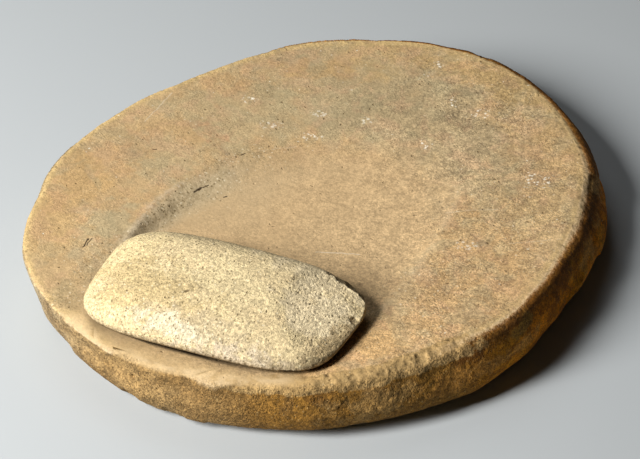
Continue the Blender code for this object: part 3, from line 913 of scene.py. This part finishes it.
def sculptSlab(piece):
    rng = np.random.default_rng(slab["seed"])
    spots, facing = points(piece), normals(piece)
    level, steepness = spots[:, 2], facing[:, 2]
    plan = spots[:, :2] - np.array(slab["middle"])
    angle, radius = np.arctan2(plan[:, 1], plan[:, 0]), np.hypot(*plan.T)
    outward = np.column_stack((np.cos(angle), np.sin(angle), np.zeros(len(angle))))
    rim = rimRadius(angle)
    share = radius / rim
    inset = (1.0 - share) * rim
    bearing = np.degrees(angle)
    crisp = smooth(bearing, -42.0, -24.0) * smooth(bearing, 150.0, 100.0)
    edging = crisp * smooth(share, 0.93, 0.96)
    top = smooth(steepness - 0.3 * edging, 0.5, 0.8 - 0.21 * edging) * smooth(level, 0.028, 0.036)
    under = smooth(-steepness, 0.6, 0.9)
    side = np.clip(1.0 - top - under, 0.0, 1.0)

    # the trough, the steep step of its wall and the verge round that
    across = (plan[:, 0] - slab["troughMiddle"][0]) / slab["troughHalfWidth"]
    along = np.maximum(plan[:, 1] - slab["troughMiddle"][1] - slab["troughSkew"] * plan[:, 0], 0.0)
    oval = (np.abs(across) ** 2.5 + (along / slab["troughReach"]) ** 2.5) ** 0.4
    trough = smooth(oval, 1.0, 0.84) * top
    step = smooth(facing[:, 0], 0.15, 0.32) * (plan[:, 0] < 0) * smooth(oval, 1.35, 1.1) * top
    verge = smooth(np.abs(oval - 1.0), 0.13, 0.04) * smooth(plan[:, 0], -0.03, -0.08)
    verge *= smooth(plan[:, 1], 0.09, 0.04) * top

    # the rim's own band, the part of it that has crumbled into teeth, and the pecked band under its front
    rimBand = smooth(inset, 0.011, 0.006) * top
    crumble = np.zeros(len(spots))
    for start, end, strength in slab["crumbled"]:
        within = smooth(bearing, start, start + 5) * smooth(bearing, end, end - 5)
        crumble = np.maximum(crumble, strength * within)
    teeth = crumble * smooth(share, 0.94, 0.98) * smooth(level, 0.03, 0.046)
    mean, rise, highest = slab["rimLevel"]
    drop = mean + rise * np.cos(angle - math.radians(highest)) - level
    band = smooth(bearing, -84.0, -72.0) * smooth(bearing, -20.0, -32.0) * smooth(inset, 0.011, 0.006)
    band *= smooth(drop, 0.0145, 0.0085)

    moved = spots - outward * steppedIn(spots, bearing, rim, share, side)[:, None]
    # the corner of the rim, filled out toward a square edge where it is crisp
    upward = np.clip(steepness, 0.0, 1.0)
    square = (upward**8 + (1.0 - upward**2) ** 4) ** -0.125
    corner = (square - 1.0) / 0.297 * smooth(share, 0.92, 0.95) * smooth(level, 0.036, 0.044)
    moved += facing * (corner * slab["crispRim"] * (0.1 + 0.9 * crisp))[:, None]
    # the ledge between the rim and the handstone lies nearly level
    ledge = smooth(bearing, -140.0, -118.0) * smooth(bearing, -62.0, -80.0) * smooth(share, 0.8, 0.87) * top
    beside = underStone(spots)
    sunk = np.maximum(slab["ledge"] - level, 0.0) * smooth(beside, 0.011, 0.001)
    moved[:, 2] += 0.75 * sunk * ledge

    chipped = chippedRim(spots, bearing, share, rng)
    height = brokenFaces(spots, top, side, rng)
    lip = smooth(lineDistance(spots, slab["lip"]), 0.0034, 0.0006) * smooth(steepness, 0.1, 0.4)
    leftCrest = smooth(lineDistance(spots, slab["leftCrest"]), 0.0055, 0.0) * top
    rightCrest = smooth(lineDistance(spots, slab["rightCrest"]), 0.007, 0.0) * top
    height += lip * 0.0007
    height += leftCrest * 0.0008 + rightCrest * 0.0003
    moved += facing * (height - chipped)[:, None]
    moved[:, 2] = np.maximum(moved[:, 2], 0.0)
    movePoints(piece, moved)

    edgeDust = smooth(steepness, 0.955, 0.93) * smooth(share, 0.93, 0.95) * top
    lively = smooth(plan[:, 0], -0.09, 0.09) * smooth(share, 1.0, 0.93)
    rough = top * (0.3 - 0.22 * trough + 1.5 * np.maximum(step, 0.6 * verge) + 0.35 * rimBand)
    rough += side * (0.5 + 0.25 * smooth(bearing, -20.0, -60.0)) + under * 0.6 + 0.3 * ledge
    rough += 0.55 * teeth * (1.0 - 0.75 * crisp) + 0.45 * band
    painted = {
        "top": top,
        "side": side,
        "under": under,
        "trough": trough,
        "step": step,
        "verge": np.maximum(step, 0.7 * verge),
        "rim": rimBand,
        "leftRim": rimBand * smooth(np.abs(turnFrom(bearing, 175.0)), 100.0, 70.0),
        "patina": smooth(bearing, -33.0, -15.0) * smooth(bearing, 160.0, 110.0),
        "front": smooth(bearing, -84.0, -66.0),
        # painted shade on the rounding of the crisp rim
        "shadedBevel": edging * smooth(steepness, 0.4, 0.7) * smooth(steepness, 0.9, 0.82),
        "ledge": ledge,
        "dust": edgeDust * smooth(bearing, -40.0, -24.0) * smooth(bearing, 50.0, 36.0),
        # painted shadow on the top round the foot of the handstone
        "paintedContactShadow": top * smooth(beside, 0.005, 0.0085),
        "pale": smooth(np.abs(turnFrom(bearing, -160.0)), 60.0, 30.0),
        "band": band,
        "lip": lip,
        "leftCrest": leftCrest,
        "rightCrest": rightCrest,
        "lively": np.clip(0.3 + 0.7 * lively + side, 0.0, 1.0),
        "chip": np.clip(chipped / 0.0012, 0.0, 1.0),
        "rough": rough,
        "swell": top * 0.5 + side * 1.0 + under * 0.8,
        "foot": smooth(level, 0.006, 0.001),
    }
    for name, values in painted.items():
        paint(piece, name, values)
    return np.clip(under + 0.7 * trough + 0.35 * top * (1.0 - rimBand), 0.0, 1.0)


def topTones(finish):
    def onTop(tones):
        finish.tones([((*centre, 0.05), (*reach, 0.2), *rest) for centre, reach, *rest in tones], 0.006)

    finish.layers("ground")
    onTop(slab["lowTones"])
    finish.layers("trough")
    onTop(slab["highTones"])
    finish.layers("top")


def flankTones(finish):
    finish.layers("flank")
    for centre, reach, color, strength in slab["stains"]:
        finish.layer(color, finish.use("placed", centre, reach, 0.0, 0.9, 0.012), "side", strength)
    tree, band = finish.tree, finish.mask("band")
    frayed = finish.scaled(centred(tree, finish.mask("fray")), 0.8, band)
    finish.masks["frayedBand"] = finish.mask(ramp(tree, frayed, 0.25, 0.75), ramp(tree, band, 0.0, 0.2))
    finish.layers("edgeWearAndLitLedge")


def slabGrain(finish):
    # mottling, grain, and painted shade in the hollows of the relief with painted light on its rises
    lively = finish.mask("troughCalm", "lively")
    finish.shade(finish.calmed("mottle", lively), 0.88, 1.1)
    finish.shade(finish.calmed("freckle", lively), 0.82, 1.14)
    finish.shade(finish.calmed("grain", "rugged"), 0.72, 1.3)
    # painted shade in the hollows of the relief, painted light on its rises
    finish.shade(ramp(finish.tree, finish.mask("relief"), -0.0008, 0.0006), 0.7, 1.1)


def scratchesAndSpots(finish):
    for color, strokes in ((slab["scratchColor"], slab["scratches"]), (slab["crackColor"], slab["cracks"])):
        for start, end, width, strength, breaks in strokes:
            mask = finish.use("scratch", (*start, 0.0), (*end, 0.0), width, breaks)
            finish.layer(color, mask, "top", strength)
    for centre, reach, strength in slab["whiteSpots"]:
        mask = finish.use("placed", centre, (reach * 1.3, reach, 0.05), 0.4, 0.7, 0.0035)
        finish.layer(slab["spotColor"], mask, "crumbs", strength)


def slabFinish():
    finish = Finish("slabSandstone", slab)
    tree, masks = finish.tree, finish.masks
    masks["grain"], grainHeight = finish.grain()
    rugged = total(tree, finish.mask("livelyGrain"), finish.mask("side"), finish.mask("trough", -0.5))
    masks["rugged"] = finish.mask(rugged, "busyGrain")
    masks["dusty"] = ramp(tree, masks["grain"], 0.3, 0.6)
    masks["coarse"] = maths(tree, "MAXIMUM", finish.mask("side"), finish.mask("band"))

    topTones(finish)
    flankTones(finish)
    slabGrain(finish)
    finish.layers("marks")
    finish.layers("edges")
    scratchesAndSpots(finish)
    # painted shadow round the foot of the handstone
    finish.layers("contactShadowLayers")

    finish.bump(0.0003, grainHeight, "rugged")
    finish.bump(0.0005, cloud(tree, finish.spot, 420.0, 4.0, 0.6), "rugged")
    finish.bump(-0.0006, "pits")
    finish.bump(-0.0006, "peckShadowSpecks", "side")
    worn = ramp(tree, finish.mask("trough"), 0.0, 1.0, 0.86, 0.72)
    return finish.done(0.16, total(tree, worn, product(tree, centred(tree, masks["grain"]), 0.12)))


skin = skinTree()
slabPiece = mergedCopy("quern_slab", "slabStone", math.radians(30.0), slabHold)
remeshed(slabPiece, slab["voxel"], 2, 2)
wholeTop, frontTop = innerTop(points(slabPiece), normals(slabPiece))
mellowed(slabPiece, wholeTop, slab["mellowRounds"][0])
mellowed(slabPiece, frontTop, slab["mellowRounds"][1])
print("slab meshed:", len(slabPiece.data.vertices), "points")
slabPlain = sculptSlab(slabPiece)
slabMaterial = slabFinish()
growSkin(slabPiece, skin, slab["skin"], slabMaterial)
thinned(slabPiece, slab["mostTriangles"], slabPlain)
print("slab finished:", len(slabPiece.data.vertices), "points")

handstone = {
    "voxel": 0.00098,
    "mostTriangles": 188000,
    "seed": 12,
    # centre, reach, depth of its scars
    "scars": (
        ((0.119, -0.161, 0.077), (0.006, 0.007, 0.009), 0.0026),
        ((0.098, -0.243, 0.062), (0.012, 0.01, 0.006), 0.0016),
        ((0.01, -0.262, 0.058), (0.03, 0.01, 0.004), 0.0012),
        ((-0.06, -0.268, 0.058), (0.025, 0.01, 0.004), 0.0012),
    ),
    "skin": {
        "Swell Size": 0.032,
        "Swell Height": 0.0005,
        "Peck Size": 0.0028,
        "Peck Height": 0.00042,
        "Scoop Size": 0.0034,
        "Scoop Height": 0.00036,
        "Pit Size": 0.0044,
        "Pit Depth": 0.0008,
        "Pit Share": 0.4,
        "Seed": 7.0,
    },
    "baseColor": (0.625, 0.5, 0.285),
    "grain": (0.0012, 26.0),  # size, seed
    # size, cover, softness, seed
    "patches": {
        "cream": (0.05, 0.5, 0.12, 21.0),
        "buff": (0.03, 0.4, 0.1, 23.0),
        "mottle": (0.009, 0.5, 0.16, 25.0),
        "pepper": (0.003, 0.5, 0.11, 31.0),
    },
    # size, share, fill, seed, stretch
    "marks": {
        "pits": (0.0028, 0.5, 0.27, 27.0, (1.0, 0.7, 1.0)),
        "deepPits": (0.012, 0.3, 0.1, 28.0, (1.0, 0.8, 1.0)),
        "flecks": (0.0036, 0.4, 0.24, 29.0),
    },
    # mask, factor, base
    "scaled": {"pecked": ("strip", -0.7, 1.0)},
    # centre, reach, turn, fray, size of the fraying
    "chip": ((0.119, -0.161, 0.077), (0.0065, 0.0065, 0.0065), 0.3, 1.2, 0.005),
    "strip": ((-0.04, -0.128, 0.09), (0.1, 0.034, 0.06), 0.2, 0.5, 0.02),
    # colour, masks and strength
    "layers": {
        "ground": (((0.665, 0.54, 0.305), "cream", 0.6), ((0.6, 0.46, 0.26), "buff", 0.55)),
        # the greyer lower front edge, and painted shade on the underside, the broken face and the chip
        "wear": (
            ((0.4, 0.32, 0.205), "edge", 0.65),
            # painted shade on the underside, where the stone rests on the slab
            ((0.17, 0.12, 0.06), "belly", 0.9),
            # painted shade on the broken face, which turns away from the lamp
            ((0.17, 0.122, 0.055), "broken", 0.9),
            # painted shade in the hollow of the chip
            ((0.2, 0.14, 0.07), "chip", 0.8),
        ),
        "marks": (
            ((0.26, 0.185, 0.085), "pits", "pecked", 0.7),
            ((0.17, 0.115, 0.055), "deepPits", "pecked", 0.8),
            ((0.84, 0.76, 0.55), "flecks", "pecked", 0.5),
        ),
    },
    # centre, reach, turn, colour, strength, fray
    "tones": (
        ((-0.095, -0.18, 0.085), (0.038, 0.05, 0.05), 0.0, (0.61, 0.485, 0.262), 0.85, 0.8),
        # this tone and the next: painted shade where the lamp falls most squarely on the top
        ((-0.07, -0.235, 0.075), (0.045, 0.03, 0.05), 0.0, (0.54, 0.41, 0.202), 0.85, 0.8),
        ((-0.04, -0.228, 0.08), (0.06, 0.03, 0.05), 0.05, (0.52, 0.4, 0.205), 0.85, 0.8),
        ((0.02, -0.248, 0.075), (0.06, 0.016, 0.05), 0.05, (0.47, 0.375, 0.225), 0.85, 0.8),
        ((0.02, -0.2, 0.09), (0.06, 0.02, 0.05), 0.1, (0.7, 0.575, 0.33), 0.6, 0.9),
        ((-0.05, -0.145, 0.09), (0.075, 0.026, 0.05), 0.18, (0.6, 0.48, 0.275), 0.85, 0.6),
        ((0.07, -0.135, 0.09), (0.065, 0.034, 0.05), -0.1, (0.69, 0.57, 0.365), 0.8, 0.6),
        ((0.085, -0.18, 0.08), (0.034, 0.034, 0.04), 0.0, (0.72, 0.6, 0.39), 0.75, 0.8),
        ((0.055, -0.252, 0.066), (0.06, 0.014, 0.016), 0.2, (0.52, 0.43, 0.31), 0.8, 0.8),
        # painted shade on the right end, which turns away from the lamp
        ((0.117, -0.198, 0.068), (0.013, 0.045, 0.02), -0.15, (0.31, 0.225, 0.115), 0.8, 0.9),
        # painted shade on the rounding under the right end
        ((0.094, -0.24, 0.064), (0.03, 0.016, 0.014), 0.45, (0.33, 0.25, 0.14), 0.75, 0.9),
        # a whitish patch: painted highlight on the front shoulder
        ((-0.016, -0.257, 0.08), (0.036, 0.012, 0.014), 0.05, (0.7, 0.62, 0.44), 0.7, 0.7),
    ),
}


def handHold(middle):
    # the broken corner keeps its edges
    return 0.85 if middle[0] > 0.03 and middle[1] > -0.2 else 0.3


def sculptHandstone(piece):
    rng = np.random.default_rng(handstone["seed"])
    spots, facing = points(piece), normals(piece)
    # the broken corner: the flat that faces back, right and up
    cut = facing @ np.array((0.35, 0.61, 0.71))
    broken = smooth(cut, 0.86, 0.95) * smooth(spots[:, 0], 0.068, 0.08)
    near = np.nonzero(broken > 0.05)[0]
    height = np.zeros(len(spots))
    seeds = spread(spots[near], 30, 0.007, rng)
    height[near] = facets(spots[near], seeds, 0.18, 0.0006, 0.0015, rng)
    height = np.clip(height, -0.0018, 0.0012) * broken
    for centre, reach, depth in handstone["scars"]:
        height -= scoop(spots, centre, reach, depth)
    belly = smooth(-facing[:, 2], 0.12, 0.55)
    edge = smooth(np.abs(facing[:, 2] + 0.15), 0.45, 0.1) * smooth(spots[:, 1], -0.2, -0.24)
    # the sloped right end, which the finish lightens with painted light
    litSlope = smooth(facing @ np.array((0.378, 0.033, 0.925)), 0.98, 0.994) * smooth(spots[:, 0], 0.055, 0.08)
    # crumbled nicks along the lower front edge
    nicks = np.clip(np.sin(spots[:, 0] * 640.0) * np.sin(spots[:, 0] * 410.0 + 1.3) - 0.25, 0.0, 1.0)
    height -= edge * nicks * 0.0011
    movePoints(piece, spots + facing * height[:, None])
    painted = {
        "broken": broken,
        "belly": belly,
        "edge": edge,
        "litSlope": litSlope,
        "rough": 1.0 - 0.75 * belly + 0.7 * edge,
        "swell": 1.0 - 0.7 * belly,
        "foot": belly,
    }
    for name, values in painted.items():
        paint(piece, name, values)
    return belly


def handstoneFinish():
    finish = Finish("handstoneSandstone", handstone)
    tree, masks = finish.tree, finish.masks
    # the chip in the broken corner, and the smooth strip along the back, which is hardly pecked
    for name in ("chip", "strip"):
        masks[name] = finish.use("placed", *handstone[name])
    tone, grainHeight = finish.grain()
    masks["grain"] = finish.calmed(tone, "pecked")

    finish.layers("ground")
    finish.tones(handstone["tones"], 0.004)
    # painted light on the sloped right end, which faces away from the lamp
    finish.shade("litSlope", 1.0, 1.4)
    finish.layers("wear")
    finish.shade("mottle", 0.94, 1.05)
    finish.shade(finish.calmed("pepper", "pecked"), 0.84, 1.1)
    finish.shade("grain", 0.6, 1.36)
    # painted shade in the hollows of the relief, painted light on its rises
    finish.shade(ramp(tree, finish.mask("relief"), -0.0008, 0.0004), 0.7, 1.05)
    finish.layers("marks")

    finish.bump(0.00035, grainHeight)
    finish.bump(0.0005, cloud(tree, finish.spot, 480.0, 4.0, 0.6))
    finish.bump(-0.0006, "pits")
    finish.bump(-0.0009, "deepPits")
    return finish.done(0.3, finish.scaled("grain", 0.12, 0.8))


handPiece = mergedCopy("handstone", "handstoneStone", math.radians(38.0), handHold)
remeshed(handPiece, handstone["voxel"], 1, 3)
print("handstone meshed:", len(handPiece.data.vertices), "points")
handPlain = sculptHandstone(handPiece)
handMaterial = handstoneFinish()
growSkin(handPiece, skin, handstone["skin"], handMaterial)
thinned(handPiece, handstone["mostTriangles"], handPlain)
print("handstone finished:", len(handPiece.data.vertices), "points")

for piece, node in ((slabPiece, "quern_slab"), (handPiece, "handstone")):
    piece.data.shade_smooth()
    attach(piece, "root")
    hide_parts(node)

studio = {
    "floorColor": (0.45, 0.48, 0.5),
    # bearings are degrees in plan, from +X toward +Y
    "keyColor": (1.0, 0.982, 0.95),
    "keyBearing": 236.0,
    "keyHeight": 34.5,
    "keyDistance": 2.6,
    "keyWidth": 0.65,
    "keyTallness": 1.49,
    "keyPower": 134.0,
    "backColor": (0.97, 0.99, 1.0),
    "backBearing": 145.0,
    "backHeight": 51.0,
    "backDistance": 3.4,
    "backWidth": 1.8,
    "backPower": 16.8,
    "fillColor": (1.0, 0.88, 0.66),
    "fill": 0.016,
    "viewBearing": -60.0,
    "viewHeight": 40.0,
    "viewDistance": 1.9,
    "lens": 112.0,
    "aim": (0.0144, -0.04, 0.046),
}

floorMesh = bpy.data.meshes.new("floor")
reach = 6.0
corners = [(-reach, -reach, 0), (reach, -reach, 0), (reach, reach, 0), (-reach, reach, 0)]
floorMesh.from_pydata(corners, [], [(0, 1, 2, 3)])
floor = bpy.data.objects.new("floor", floorMesh)
bpy.context.scene.collection.objects.link(floor)
floorMaterial = bpy.data.materials.new("paleFloor")
floorMaterial.use_nodes = True
floorShader = floorMaterial.node_tree.nodes["Principled BSDF"]
floorShader.inputs["Base Color"].default_value = (*studio["floorColor"], 1.0)
floorShader.inputs["Roughness"].default_value = 0.9
floorMesh.materials.append(floorMaterial)


def lookAt(thing, target):
    direction = Vector(target) - thing.location
    thing.rotation_euler = direction.to_track_quat("-Z", "Y").to_euler()


def onSphere(target, bearing, height, distance):
    bearing, height = math.radians(bearing), math.radians(height)
    flat = math.cos(height)
    back = Vector((math.cos(bearing) * flat, math.sin(bearing) * flat, math.sin(height)))
    return Vector(target) + back * distance


def softLight(name, prefix, tallness):
    data = bpy.data.lights.new(name, "AREA")
    data.shape = "RECTANGLE"
    data.size, data.size_y = studio[prefix + "Width"], tallness
    data.energy = studio[prefix + "Power"]
    data.color = studio[prefix + "Color"]
    light = bpy.data.objects.new(name, data)
    bearing, height, distance = (studio[prefix + kind] for kind in ("Bearing", "Height", "Distance"))
    light.location = onSphere(studio["aim"], bearing, height, distance)
    lookAt(light, studio["aim"])
    bpy.context.scene.collection.objects.link(light)


softLight("softKey", "key", studio["keyTallness"])
softLight("softBack", "back", studio["backWidth"])

world = bpy.data.worlds.new("studioAir")
world.use_nodes = True
air = world.node_tree.nodes["Background"]
air.inputs["Color"].default_value = (*studio["fillColor"], 1.0)
air.inputs["Strength"].default_value = studio["fill"]
bpy.context.scene.world = world
bpy.context.scene.view_settings.view_transform = "Standard"

cameraData = bpy.data.cameras.new("camera")
cameraData.lens = studio["lens"]
cameraData.sensor_width = 36.0
camera = bpy.data.objects.new("camera", cameraData)
camera.location = onSphere(studio["aim"], studio["viewBearing"], studio["viewHeight"], studio["viewDistance"])
lookAt(camera, studio["aim"])
bpy.context.scene.collection.objects.link(camera)
bpy.context.scene.camera = camera
print("floor, lights and camera set")
